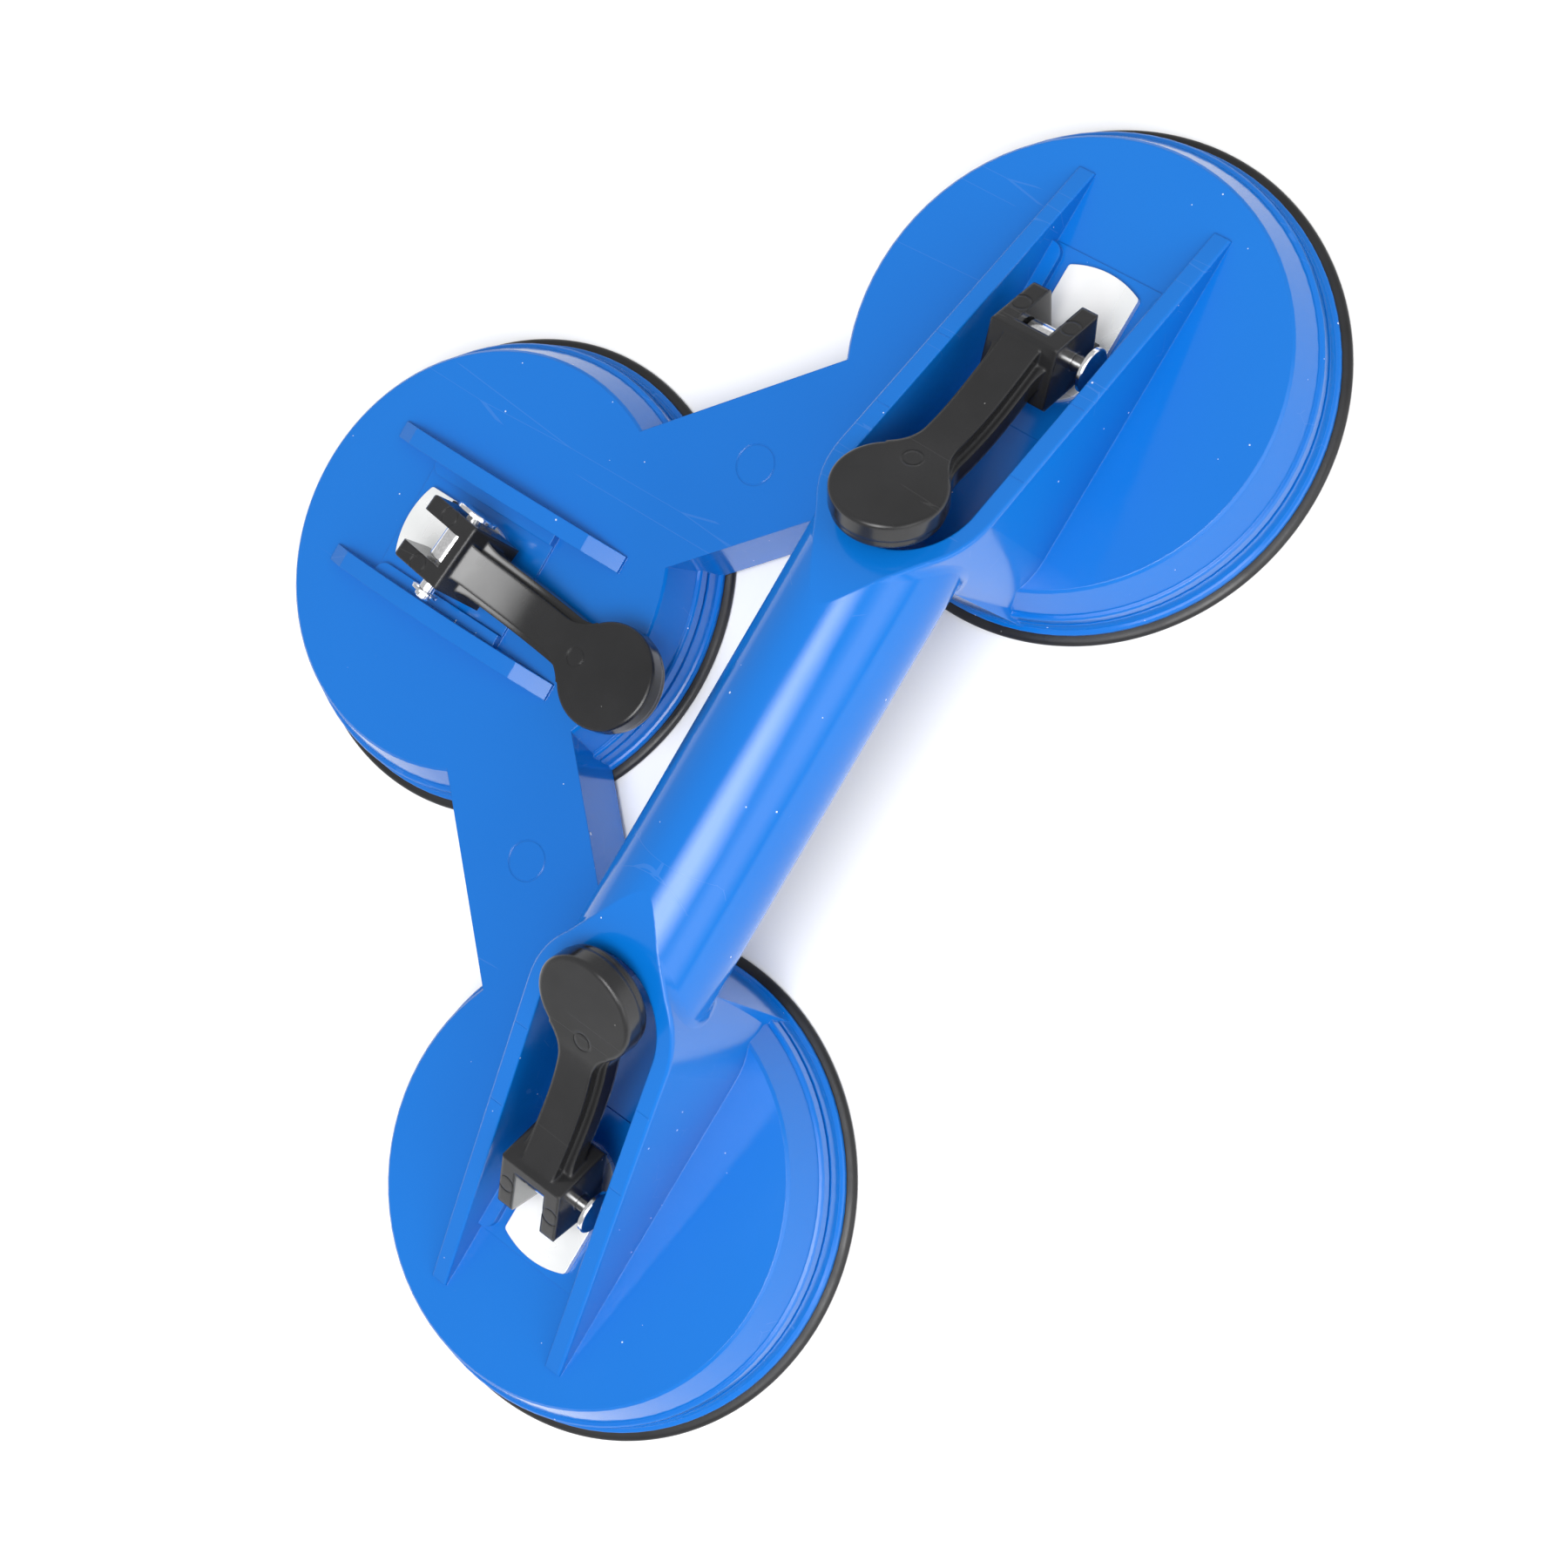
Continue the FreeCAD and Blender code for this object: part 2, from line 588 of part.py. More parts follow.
def fork_block():
    """Forked cam block: flat upper face, round cam nose, heel on the head side."""
    nose_left = Vector(CAM_NOSE_X - CAM_NOSE_R, 0, CAM_NOSE_Z)
    nose_mid = Vector(CAM_NOSE_X - CAM_NOSE_R * cos(pi / 4), 0, CAM_NOSE_Z - CAM_NOSE_R * sin(pi / 4))
    nose_low = Vector(CAM_NOSE_X, 0, CAM_NOSE_Z - CAM_NOSE_R)
    heel_low = Vector(HEEL_X - HEEL_CORNER, 0, CAM_NOSE_Z - CAM_NOSE_R)
    heel_up = Vector(HEEL_X, 0, CAM_NOSE_Z - CAM_NOSE_R + HEEL_CORNER)
    neck_top = Vector(BLOCK_NECK_TOP, 0, BLOCK_TOP)
    tip_flat = Vector(BLOCK_TIP_TOP + BLOCK_TIP_R, 0, BLOCK_TOP)
    tip_mid = Vector(BLOCK_TIP_TOP + 0.3 * BLOCK_TIP_R, 0, BLOCK_TOP - 0.3 * BLOCK_TIP_R)
    tip_side = Vector(BLOCK_TIP_TOP - 0.1, 0, BLOCK_TOP - BLOCK_TIP_R)
    edges = [
        Part.Arc(nose_left, nose_mid, nose_low).toShape(),
        Part.makeLine(nose_low, heel_low),
        Part.makeLine(heel_low, heel_up),
        Part.makeLine(heel_up, neck_top),
        Part.makeLine(neck_top, tip_flat),
        Part.Arc(tip_flat, tip_mid, tip_side).toShape(),
        Part.makeLine(tip_side, nose_left),
    ]
    face = Part.Face(Part.Wire(edges))
    face.translate(Vector(0, -LEVER_HALF_W, 0))
    block = face.extrude(Vector(0, 2.0 * LEVER_HALF_W, 0))
    slot = box(-30.0, FORK_ROOT, -FORK_HALF_GAP, FORK_HALF_GAP, -30.0, 30.0)
    block = block.cut(slot)
    block = block.makeFillet(BLOCK_EDGE_R, edges_on(block, on_block_side))
    return block.cut(prong_corners())


def neck_slab(drop, thickness):
    """Swept side view of the neck from the block to the head's middle, as a wide slab."""
    top = [
        Vector(BLOCK_NECK_TOP + 0.4, 0, 6.2 - drop),
        Vector(15.0, 0, 2.9 - drop),
        Vector(24.0, 0, -0.3 - drop),
        Vector(33.0, 0, HEAD_TOP + 0.35 - drop),
        Vector(NECK_LEVEL_X, 0, HEAD_TOP - drop),
    ]
    low = [Vector(p.x, 0, p.z - thickness) for p in top]
    upper = Part.BSplineCurve()
    upper.interpolate(Points=top, InitialTangent=Vector(1, 0, -0.55), FinalTangent=Vector(1, 0, 0))
    lower = Part.BSplineCurve()
    lower.interpolate(Points=low, InitialTangent=Vector(1, 0, -0.55), FinalTangent=Vector(1, 0, 0))
    top_end = Vector(HEAD_X, 0, top[-1].z)
    low_end = Vector(HEAD_X, 0, low[-1].z)
    edges = [
        upper.toShape(),
        Part.makeLine(top[-1], top_end),
        Part.makeLine(top_end, low_end),
        Part.makeLine(low_end, low[-1]),
        lower.toShape(),
        Part.makeLine(low[0], top[0]),
    ]
    face = Part.Face(Part.Wire(Part.__sortEdges__(edges)))
    face.translate(Vector(0, -HEAD_R, 0))
    return face.extrude(Vector(0, 2.0 * HEAD_R, 0))


def neck_plan(half_width, block_half_width):
    """Plan view of the neck, tall: a flare at the block and a tangent run into the round head."""
    reach = NECK_FLARE_R + half_width
    span = NECK_FLARE_R + HEAD_R
    bend_x = HEAD_X - sqrt(span ** 2 - reach ** 2)
    wide = reach * HEAD_R / span
    rise = NECK_FLARE_R - (block_half_width - half_width)
    flare_x = NECK_START_X + sqrt(NECK_FLARE_R ** 2 - rise ** 2)
    plan = box(NECK_START_X, HEAD_X, -wide, wide, -30.0, 30.0)
    for side in (1, -1):
        far = side * 2.0 * HEAD_R
        near = side * half_width
        waist = box(flare_x, bend_x, min(near, far), max(near, far), -40.0, 40.0)
        plan = plan.cut(waist)
        near = side * block_half_width
        cheek = box(NECK_START_X - 1.0, flare_x, min(near, far), max(near, far), -40.0, 40.0)
        plan = plan.cut(cheek)
        for x in (flare_x, bend_x):
            plan = plan.cut(Part.makeCylinder(NECK_FLARE_R, 80.0, Vector(x, side * reach, -40.0)))
    return plan


def lever_head():
    """Round thumb pad with a stepped side."""
    top = Part.makeCylinder(HEAD_R, HEAD_STEP, Vector(HEAD_X, 0, HEAD_TOP - HEAD_STEP))
    top = top.makeFillet(HEAD_EDGE_R, edges_on(top, lambda p: abs(p.z - HEAD_TOP) < ON_PLANE))
    low_z = HEAD_TOP - HEAD_T
    low_r = HEAD_R - HEAD_STEP_IN
    low = Part.makeCylinder(low_r, HEAD_T - HEAD_STEP, Vector(HEAD_X, 0, low_z))
    low = low.makeFillet(HEAD_EDGE_R, edges_on(low, lambda p: abs(p.z - low_z) < ON_PLANE))
    return top.fuse(low)


def cam_lever():
    """One-piece moulded lever in its own frame."""
    web = neck_slab(0.0, NECK_T).common(neck_plan(NECK_HALF_W, NECK_BLOCK_HALF_W))
    flange = neck_slab(FLANGE_DROP, NECK_T - FLANGE_DROP)
    flange = flange.common(neck_plan(FLANGE_HALF_W, FLANGE_BLOCK_HALF_W))
    body = fork_block().fuse(web).fuse(flange).fuse(lever_head())
    slot = box(-30.0, FORK_ROOT, -FORK_HALF_GAP, FORK_HALF_GAP, -30.0, 30.0)
    bore = cylinder_y(PIN_BORE_R, -LEVER_HALF_W - 1.0, LEVER_HALF_W + 1.0)
    body = body.cut(slot).cut(bore)
    for x, y in ejector_marks():
        body = body.cut(ejector_ring(x, y))
    return body.removeSplitter()


def ejector_marks():
    """Where ejector pins left rings on the lever: by the head and on both prongs."""
    return [(HEAD_X - 9.0, -1.0), (-0.6, 6.6), (-0.6, -6.6)]


def ejector_ring(x, y):
    """Hairline ring cut into the lever's upper face at x, y."""
    z = HEAD_TOP if x > HEEL_X else BLOCK_TOP
    ring = Part.makeCylinder(LEVER_EJECTOR_R, 1.0, Vector(x, y, z - EJECTOR_DEPTH))
    core = Part.makeCylinder(LEVER_EJECTOR_R - EJECTOR_LINE, 1.0, Vector(x, y, z - EJECTOR_DEPTH))
    return ring.cut(core)


def lever_pin(head_side, head_at):
    """Headed pin through the fork and the stud's eye, with a groove for the clip.

    head_side is +1 or -1 and head_at is how far out the head's inner face stands."""
    end = head_at - PIN_L
    groove = head_at - PIN_GROOVE_AT
    pin = turned([
        (0.0, end),
        (PIN_R - PIN_CHAMFER, end),
        (PIN_R, end + PIN_CHAMFER),
        (PIN_R, groove - PIN_GROOVE_W / 2.0),
        (PIN_GROOVE_R, groove - PIN_GROOVE_W / 2.0),
        (PIN_GROOVE_R, groove + PIN_GROOVE_W / 2.0),
        (PIN_R, groove + PIN_GROOVE_W / 2.0),
        (PIN_R, head_at),
        (PIN_HEAD_R, head_at),
        (PIN_HEAD_R, head_at + PIN_HEAD_T - PIN_HEAD_EDGE),
        (PIN_HEAD_R - PIN_HEAD_EDGE, head_at + PIN_HEAD_T),
        (0.0, head_at + PIN_HEAD_T),
    ])
    pin.rotate(Vector(0, 0, 0), Vector(1, 0, 0), -90.0 * head_side)
    return pin


def retaining_clip(head_side, head_at):
    """E-clip seated in the pin's groove."""
    inner = PIN_GROOVE_R + 0.02
    disc = cylinder_y(CLIP_R, -CLIP_T / 2.0, CLIP_T / 2.0)
    disc = disc.cut(cylinder_y(PIN_R + 0.45, -1.0, 1.0))
    for angle in (90.0, 205.0, 335.0):
        tooth = box(inner, PIN_R + 0.8, -CLIP_T / 2.0, CLIP_T / 2.0, -0.7, 0.7)
        tooth.rotate(Vector(0, 0, 0), Vector(0, 1, 0), -angle)
        disc = disc.fuse(tooth)
    disc = disc.cut(cylinder_y(inner, -1.0, 1.0))
    mouth = box(-CLIP_GAP_HALF, CLIP_GAP_HALF, -1.0, 1.0, -CLIP_R - 1.0, -PIN_R - 0.2)
    disc = disc.cut(mouth)
    disc.translate(Vector(0, head_side * (head_at - PIN_GROOVE_AT), 0))
    return disc.removeSplitter()


def on_stud(shape, angle, pin_z, yaw):
    """Lever-frame shape raised by angle, lifted to the pin height and yawed."""
    copy = shape.copy()
    copy.rotate(Vector(0, 0, 0), Vector(0, 1, 0), -angle)
    copy.rotate(Vector(0, 0, 0), Vector(0, 0, 1), yaw)
    copy.translate(Vector(0, 0, pin_z))
    return copy


def cup_parts(cup):
    """Named shapes of one cup's mechanism, in the row frame."""
    locked = cup in GRIP_CUPS
    pin_z = PIN_Z_LOCKED if locked else PIN_Z_RELEASED
    angle = LEVER_LOCKED_ANGLE if locked else LEVER_RELEASED_ANGLE
    yaw = 0.0 if locked else -REAR_LEVER_YAW
    stud = draw_stud(pin_z)
    stud.rotate(Vector(0, 0, 0), Vector(0, 0, 1), yaw)
    head_side = CUPS[cup]["pin_head"]
    head_at = PIN_HEAD_AT_LOCKED if locked else PIN_HEAD_AT_RELEASED
    shapes = {
        "rubber_pad": rubber_pad(),
        "backing_plate": backing_plate(pin_z),
        "draw_stud": stud,
        "cam_plate": cam_plate(),
        "cam_lever": on_stud(cam_lever(), angle, pin_z, yaw),
        "lever_pin": on_stud(lever_pin(head_side, head_at), angle, pin_z, yaw),
        "pin_clip": on_stud(retaining_clip(head_side, head_at), angle, pin_z, yaw),
    }
    return {cup + "_" + name: on_cup(shape, cup) for name, shape in shapes.items()}


os.makedirs("parts", exist_ok=True)
nodes = {"frame_moulding": frame_moulding()}
for cup in CUPS:
    nodes.update(cup_parts(cup))
for name, shape in nodes.items():
    shape.exportStep("parts/" + name + ".step")
    print(name, "solids", len(shape.Solids), "valid", shape.isValid(), "volume", round(shape.Volume, 1))
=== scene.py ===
import math

import bmesh
import bpy
from mathutils import Matrix, Vector


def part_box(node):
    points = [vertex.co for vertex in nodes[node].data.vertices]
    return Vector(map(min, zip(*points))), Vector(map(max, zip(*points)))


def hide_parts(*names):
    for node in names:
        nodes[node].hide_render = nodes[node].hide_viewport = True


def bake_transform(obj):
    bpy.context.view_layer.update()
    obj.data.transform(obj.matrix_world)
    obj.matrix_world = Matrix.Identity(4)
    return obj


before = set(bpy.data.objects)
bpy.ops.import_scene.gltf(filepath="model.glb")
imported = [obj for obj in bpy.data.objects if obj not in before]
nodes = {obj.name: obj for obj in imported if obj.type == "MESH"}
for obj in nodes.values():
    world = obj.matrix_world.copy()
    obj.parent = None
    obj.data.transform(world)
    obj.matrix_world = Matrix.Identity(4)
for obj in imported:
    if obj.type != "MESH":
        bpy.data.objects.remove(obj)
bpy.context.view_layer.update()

# Three-cup suction lifter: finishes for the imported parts, flexible rubber pads, camera and studio.

CUPS = ("right", "left", "rear")
MM = 0.001

# ---- rubber pad, millimetres
SHEET_UNDER_Z = 2.3         # underside of the sheet outside its crown
CROWN = 0.5                 # how much the middle of the sheet stands higher
CROWN_FLAT_R = 20.0         # the crown is level inside this radius
CROWN_UNDER_R = 47.0        # the crown has run out here on the underside
CROWN_TOP_R = 50.0          # and here on the top
UNDER_RADII = (0.0, 6.0, 12.0, 18.0, 22.0, 26.0, 30.0, 34.0, 38.0, 41.0, 44.0, 46.5)
TOP_RADII = (55.0, 52.5, 50.0, 47.0, 44.0, 41.0, 38.0, 34.0, 30.0, 26.0, 22.0, 18.0, 12.0, 6.0, 0.0)
# Slope from the sheet down to the sealing face, as (radius, share of the sheet's height),
# and its foot, as (radius, height).
SLOPE = ((48.0, 0.72), (49.3, 0.34))
SLOPE_FOOT = ((50.2, 0.10), (50.8, 0.0))
# Grooves in the sealing face: centre radius, half width at the face, half width at the floor.
GROOVES = ((52.15, 0.55, 0.15), (54.4, 0.5, 0.2), (56.7, 0.5, 0.2))
GROOVE_DEPTH = 0.22
# The rounded outer lip, as (distance in from the rim, height).
LIP = (
    (0.9, 0.0), (0.45, 0.06), (0.14, 0.24), (0.0, 0.55), (0.02, 0.85),
    (0.2, 1.15), (0.55, 1.45), (1.1, 1.66), (1.9, 1.76), (3.2, 1.80),
)
LIP_TOP_Z = LIP[-1][1]
SHEET_RISE = 2.35           # the sheet's top above the lip's
RISE_FOOT_R = 55.0          # the rise from the lip's top starts here,
RISE_STEEP_R = 50.0         # is no longer held back by its foot here,
RISE_END_R = 46.0           # and is complete here
PLATE_CLEARANCE = 0.25      # air between the sheet and the backing plate
PAD_SEGMENTS = 192

# ---- colours, linear red, green and blue
BLUE_DEEP = (0.0016, 0.137, 0.520)
BLUE_PALE = (0.0030, 0.150, 0.552)
BLUE_SCRATCH = (0.45, 0.6, 0.85)
BLUE_DUST = (0.75, 0.82, 0.9)
BLACK_DEEP = (0.011, 0.011, 0.0115)
BLACK_PALE = (0.018, 0.018, 0.019)
BLACK_SCRATCH = (0.10, 0.10, 0.10)
BLACK_DUST = (0.6, 0.6, 0.58)
RUBBER_DEEP = (0.006, 0.006, 0.0065)
RUBBER_PALE = (0.014, 0.014, 0.015)
RUBBER_DUST = (0.55, 0.55, 0.53)
ZINC_GREY = (0.90, 0.92, 0.92)
ZINC_BRIGHT = (0.99, 0.99, 0.99)
ZINC_MARK = (0.7, 0.72, 0.74)
STEEL_GREY = (0.80, 0.80, 0.81)
STEEL_BRIGHT = (0.93, 0.93, 0.94)
PAPER_GREY = (0.95, 0.95, 0.95)
PAPER_WHITE = (0.97, 0.97, 0.97)
BEVEL_SAMPLES = 6

# ---- camera, metres and degrees unless the name says otherwise
SENSOR_MM = 36.0
LENS_MM = 60.885
CAMERA_AT = (0.05347, -0.29118, 0.55858)
CAMERA_AZIMUTH = -13.4968
CAMERA_ELEVATION = -64.9727
CAMERA_ROLL = -71.8704
CLIP_START = 0.05

# ---- studio
FADE_SHARES = (1.3, 1.1, 0.9, 0.7, 0.5)     # sizes of a soft box's nested panels
PANEL_GAP = 0.01
SKY_BRIGHTNESS = 0.55
FLOOR_SIZE = 8.0
FLOOR_ROUGHNESS = 0.9

# ---- sockets that Blender's colour Mix node only tells apart by number
MIX_FACTOR = 0
MIX_A = 6
MIX_B = 7
MIX_RESULT = 2


# ---------------------------------------------------------------- node material helpers

class Graph:
    """Small wrapper that builds one material's node tree."""

    def __init__(self, name):
        self.mat = bpy.data.materials.new(name)
        self.mat.use_nodes = True
        self.tree = self.mat.node_tree
        self.tree.nodes.clear()
        self.out = self.tree.nodes.new("ShaderNodeOutputMaterial")
        self.bsdf = self.node("ShaderNodeBsdfPrincipled")
        self.put(self.out.inputs["Surface"], self.bsdf.outputs[0])
        self.coord = self.node("ShaderNodeTexCoord").outputs["Object"]

    def node(self, kind, **values):
        node = self.tree.nodes.new(kind)
        for key, value in values.items():
            setattr(node, key, value)
        return node

    def put(self, socket, value):
        """Link an output to a socket, or set the socket to a plain value."""
        if isinstance(value, bpy.types.NodeSocket):
            self.tree.links.new(value, socket)
        elif isinstance(value, tuple) and len(value) == 3 and socket.type == "RGBA":
            socket.default_value = (*value, 1.0)
        else:
            socket.default_value = value

    def set(self, name, value):
        self.put(self.bsdf.inputs[name], value)

    def calc(self, operation, a, b, clamp=False):
        node = self.node("ShaderNodeMath", operation=operation, use_clamp=clamp)
        self.put(node.inputs[0], a)
        self.put(node.inputs[1], b)
        return node.outputs[0]

    def add(self, a, b, clamp=False):
        return self.calc("ADD", a, b, clamp)

    def times(self, a, b):
        return self.calc("MULTIPLY", a, b)

    def mapped(self, scale=(1, 1, 1), rotation=(0, 0, 0), location=(0, 0, 0)):
        node = self.node("ShaderNodeMapping")
        self.put(node.inputs["Vector"], self.coord)
        node.inputs["Scale"].default_value = scale
        node.inputs["Rotation"].default_value = rotation
        node.inputs["Location"].default_value = location
        return node.outputs[0]

    def noise(self, scale, detail=3.0, rough=0.5, vector=None, distortion=0.0):
        node = self.node("ShaderNodeTexNoise")
        self.put(node.inputs["Vector"], vector or self.coord)
        node.inputs["Scale"].default_value = scale
        node.inputs["Detail"].default_value = detail
        node.inputs["Roughness"].default_value = rough
        node.inputs["Distortion"].default_value = distortion
        return node.outputs[0]

    def remap(self, value, given, wanted=(0.0, 1.0)):
        """Stretch the given range of a value over the wanted one."""
        node = self.node("ShaderNodeMapRange", clamp=True)
        self.put(node.inputs["Value"], value)
        node.inputs["From Min"].default_value = given[0]
        node.inputs["From Max"].default_value = given[1]
        node.inputs["To Min"].default_value = wanted[0]
        node.inputs["To Max"].default_value = wanted[1]
        return node.outputs[0]

    def mix(self, factor, a, b):
        node = self.node("ShaderNodeMix", data_type="RGBA")
        self.put(node.inputs[MIX_FACTOR], factor)
        self.put(node.inputs[MIX_A], a)
        self.put(node.inputs[MIX_B], b)
        return node.outputs[MIX_RESULT]

    def specks(self, scale, size, share, offset=0.0):
        """Mask of small scattered specks: one in some of the cells of a Voronoi grid."""
        cells = self.node("ShaderNodeTexVoronoi")
        self.put(cells.inputs["Vector"], self.mapped(location=(offset, offset * 0.7, offset * 1.3)))
        cells.inputs["Scale"].default_value = scale
        pick = self.node("ShaderNodeSeparateColor")
        self.put(pick.inputs[0], cells.outputs["Color"])
        wanted = self.calc("LESS_THAN", pick.outputs[0], share)
        radius = self.times(pick.outputs[1], size * scale)
        inside = self.calc("LESS_THAN", cells.outputs["Distance"], radius)
        return self.times(wanted, inside)

    def hairlines(self, scale, width, share, rotation, stretch=0.06):
        """Mask of sparse thin scratches running roughly along one direction."""
        flow = self.mapped(scale=(1.0, stretch, 1.0), rotation=rotation)
        cells = self.node("ShaderNodeTexVoronoi", feature="DISTANCE_TO_EDGE")
        self.put(cells.inputs["Vector"], flow)
        cells.inputs["Scale"].default_value = scale
        line = self.calc("LESS_THAN", cells.outputs["Distance"], width)
        patches = self.noise(scale=scale * 0.35, detail=2.0, vector=flow)
        patch = self.calc("GREATER_THAN", patches, 1.0 - share)
        return self.times(line, patch)

    def finish_surface(self, height, distance, edge):
        """Bump of the given height map and depth, and soft edges of the given radius, in metres."""
        bevel = self.node("ShaderNodeBevel", samples=BEVEL_SAMPLES)
        bevel.inputs["Radius"].default_value = edge
        bump = self.node("ShaderNodeBump")
        bump.inputs["Strength"].default_value = 1.0
        bump.inputs["Distance"].default_value = distance
        self.put(bump.inputs["Height"], height)
        self.put(bump.inputs["Normal"], bevel.outputs[0])
        self.set("Normal", bump.outputs[0])


# ---------------------------------------------------------------- finishes

def blue_plastic():
    """Glossy injection-moulded blue with dust, hairlines and faint flow variation."""
    g = Graph("blue_plastic")
    flow = g.noise(scale=9.0, rough=0.55)
    dust = g.add(g.specks(scale=330.0, size=0.00026, share=0.16),
                 g.specks(scale=150.0, size=0.00042, share=0.08, offset=3.1), clamp=True)
    lines = g.add(g.hairlines(scale=170.0, width=0.010, share=0.36, rotation=(0, 0, 0.5)),
                  g.hairlines(scale=150.0, width=0.009, share=0.34, rotation=(0.2, 0, 1.9)), clamp=True)
    base = g.mix(g.remap(flow, (0.3, 0.7)), BLUE_DEEP, BLUE_PALE)
    base = g.mix(g.times(lines, 0.045), base, BLUE_SCRATCH)
    base = g.mix(g.times(dust, 0.75), base, BLUE_DUST)
    g.set("Base Color", base)
    smudge = g.noise(scale=28.0, detail=4.0, rough=0.6, distortion=0.6)
    rough = g.remap(smudge, (0.35, 0.75), (0.10, 0.18))
    rough = g.add(rough, g.times(dust, 0.5))
    rough = g.add(rough, g.times(lines, 0.06), clamp=True)
    g.set("Roughness", rough)
    g.set("IOR", 1.46)
    ripple = g.noise(scale=60.0, detail=2.0, rough=0.4)
    height = g.add(ripple, g.times(lines, -0.06))
    height = g.add(height, g.times(dust, 0.25))
    g.finish_surface(height, distance=0.00006, edge=0.0003)
    return g.mat


def black_plastic():
    """Glossy black moulding with a fine spark-eroded grain, sparse scratches and lint."""
    g = Graph("black_plastic")
    cloud = g.noise(scale=45.0, detail=4.0, rough=0.6)
    dust = g.add(g.specks(scale=420.0, size=0.00016, share=0.10, offset=1.7),
                 g.specks(scale=160.0, size=0.0003, share=0.05, offset=5.3), clamp=True)
    lines = g.hairlines(scale=260.0, width=0.012, share=0.40, rotation=(0, 0.3, 0.9))
    base = g.mix(g.remap(cloud, (0.3, 0.7)), BLACK_DEEP, BLACK_PALE)
    base = g.mix(g.times(lines, 0.18), base, BLACK_SCRATCH)
    base = g.mix(g.times(dust, 0.6), base, BLACK_DUST)
    g.set("Base Color", base)
    rough = g.remap(g.noise(scale=70.0, rough=0.6), (0.3, 0.7), (0.11, 0.21))
    rough = g.add(rough, g.times(dust, 0.4), clamp=True)
    g.set("Roughness", rough)
    g.set("IOR", 1.50)
    grain = g.noise(scale=2600.0, detail=2.0, rough=0.6)
    height = g.add(g.times(grain, 0.5), g.times(cloud, 0.3))
    height = g.add(height, g.times(lines, -0.25))
    g.finish_surface(height, distance=0.000012, edge=0.0010)
    return g.mat


def rubber():
    """Moulded black rubber: faint bloom, fine grain and dust."""
    g = Graph("black_rubber")
    bloom = g.noise(scale=22.0, detail=5.0, rough=0.6)
    dust = g.add(g.specks(scale=330.0, size=0.0002, share=0.12, offset=2.2),
                 g.specks(scale=140.0, size=0.0003, share=0.05, offset=7.3), clamp=True)
    base = g.mix(g.remap(bloom, (0.35, 0.7)), RUBBER_DEEP, RUBBER_PALE)
    base = g.mix(g.times(dust, 0.6), base, RUBBER_DUST)
    g.set("Base Color", base)
    g.set("Roughness", g.remap(g.noise(scale=90.0, rough=0.6), (0.3, 0.7), (0.32, 0.52)))
    g.set("IOR", 1.50)
    grain = g.noise(scale=1500.0, rough=0.6)
    g.finish_surface(grain, distance=0.00003, edge=0.0004)
    return g.mat


def zinc_plate():
    """Bright zinc-plated stamping: pale, slightly clouded, with a few rolling marks."""
    g = Graph("zinc_steel")
    cloud = g.noise(scale=75.0, detail=2.0, distortion=0.4)
    lines = g.hairlines(scale=160.0, width=0.006, share=0.35, rotation=(0, 0, 0.35), stretch=0.05)
    base = g.mix(g.remap(cloud, (0.35, 0.7)), ZINC_GREY, ZINC_BRIGHT)
    base = g.mix(g.times(lines, 0.10), base, ZINC_MARK)
    g.set("Base Color", base)
    g.set("Metallic", 0.42)
    g.set("Roughness", g.remap(cloud, (0.3, 0.75), (0.22, 0.34)))
    g.finish_surface(cloud, distance=0.00002, edge=0.0002)
    return g.mat


def bright_steel():
    """Turned and plated pins, studs and clips."""
    g = Graph("bright_steel")
    turning = g.noise(scale=1800.0, detail=2.0, vector=g.mapped(scale=(1.0, 1.0, 0.15)))
    base = g.mix(g.remap(turning, (0.35, 0.65)), STEEL_GREY, STEEL_BRIGHT)
    g.set("Base Color", base)
    g.set("Metallic", 1.0)
    g.set("Roughness", g.remap(g.noise(scale=500.0, rough=0.6), (0.3, 0.7), (0.10, 0.22)))
    g.finish_surface(turning, distance=0.00001, edge=0.0002)
    return g.mat


blue = blue_plastic()
black = black_plastic()
black_rubber = rubber()
zinc = zinc_plate()
steel = bright_steel()


def finish_of(name):
    """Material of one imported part, by its kind."""
    if name == "frame_moulding":
        return blue
    if name.endswith("cam_lever"):
        return black
    if name.endswith("rubber_pad"):
        return black_rubber
    if name.endswith(("cam_plate", "backing_plate")):
        return zinc
    return steel


for name, obj in nodes.items():
    for slot in obj.material_slots:
        slot.material = finish_of(name)


# ---------------------------------------------------------------- rubber pads

def smooth_step(a, b, x):
    """0 at a and 1 at b, level at both ends."""
    t = max(0.0, min(1.0, (x - a) / (b - a)))
    return t * t * (3.0 - 2.0 * t)


